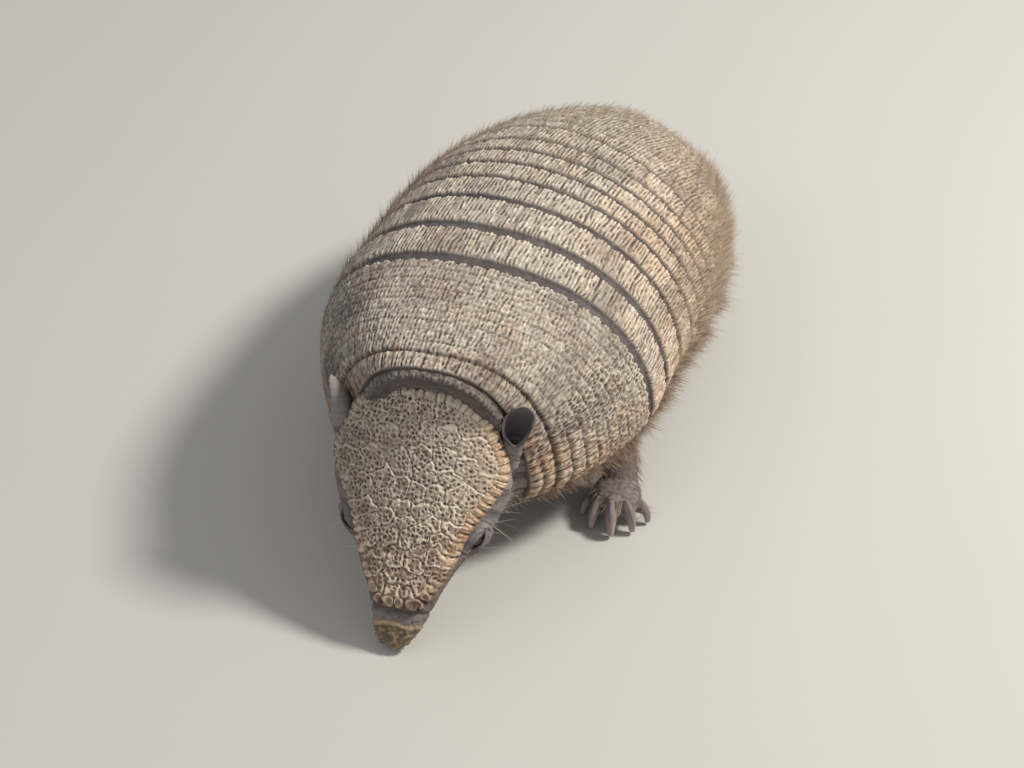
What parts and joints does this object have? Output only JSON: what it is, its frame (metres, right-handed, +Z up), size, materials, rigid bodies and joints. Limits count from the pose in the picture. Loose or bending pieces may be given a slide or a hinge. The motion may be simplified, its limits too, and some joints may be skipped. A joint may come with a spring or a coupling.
{
  "type": "armadillo",
  "caption": "Life-size still model of a hairy armadillo standing on all fours with its nose lowered to the floor, with a banded shell over the back and a tail curved to one side.",
  "frame": {"origin": "On the floor, below the middle of the animal's bounding box.", "axes": "+X to the animal's left, -Y the way it faces (nose), +Y towards the tail, +Z up."},
  "size_m": [0.164, 0.3988, 0.1257],
  "materials": {
    "shell_plate": "dry, matt scutes with worn pale ridges over dark grooves",
    "hairy_skin": "coarse brown hair over dark skin",
    "bare_skin": "matt wrinkled skin",
    "nose_pad": "slightly damp wrinkled skin",
    "ear_skin": "matt finely pebbled skin",
    "eye": "wet and glossy, near black",
    "claw": "satin horn, worn paler at the tips",
    "tail_scale": "rings of dry matt scales"
  },
  "bodies": {
    "root": {"trunk": "hairy_skin", "scapular_shield": "shell_plate", "band_1": "shell_plate", "band_2": "shell_plate", "band_3": "shell_plate", "band_4": "shell_plate", "band_5": "shell_plate", "band_6": "shell_plate", "band_7": "shell_plate", "pelvic_shield": "shell_plate", "head": "bare_skin", "head_shield": "shell_plate", "nose": "nose_pad", "neck": "bare_skin", "nuchal_band": "shell_plate", "eye_left": "eye", "eye_right": "eye", "ear_left": "ear_skin", "ear_right": "ear_skin", "foreleg_left": "hairy_skin", "forefoot_left": "bare_skin", "foreclaw_left_1": "claw", "foreclaw_left_2": "claw", "foreclaw_left_3": "claw", "foreclaw_left_4": "claw", "foreclaw_left_5": "claw", "hindleg_left": "hairy_skin", "hindfoot_left": "bare_skin", "hindclaw_left_1": "claw", "hindclaw_left_2": "claw", "hindclaw_left_3": "claw", "hindclaw_left_4": "claw", "hindclaw_left_5": "claw", "foreleg_right": "hairy_skin", "forefoot_right": "bare_skin", "foreclaw_right_1": "claw", "foreclaw_right_2": "claw", "foreclaw_right_3": "claw", "foreclaw_right_4": "claw", "foreclaw_right_5": "claw", "hindleg_right": "hairy_skin", "hindfoot_right": "bare_skin", "hindclaw_right_1": "claw", "hindclaw_right_2": "claw", "hindclaw_right_3": "claw", "hindclaw_right_4": "claw", "hindclaw_right_5": "claw", "tail_base": "tail_scale", "tail_middle": "tail_scale", "tail_tip": "tail_scale"}
  },
  "joints": []
}
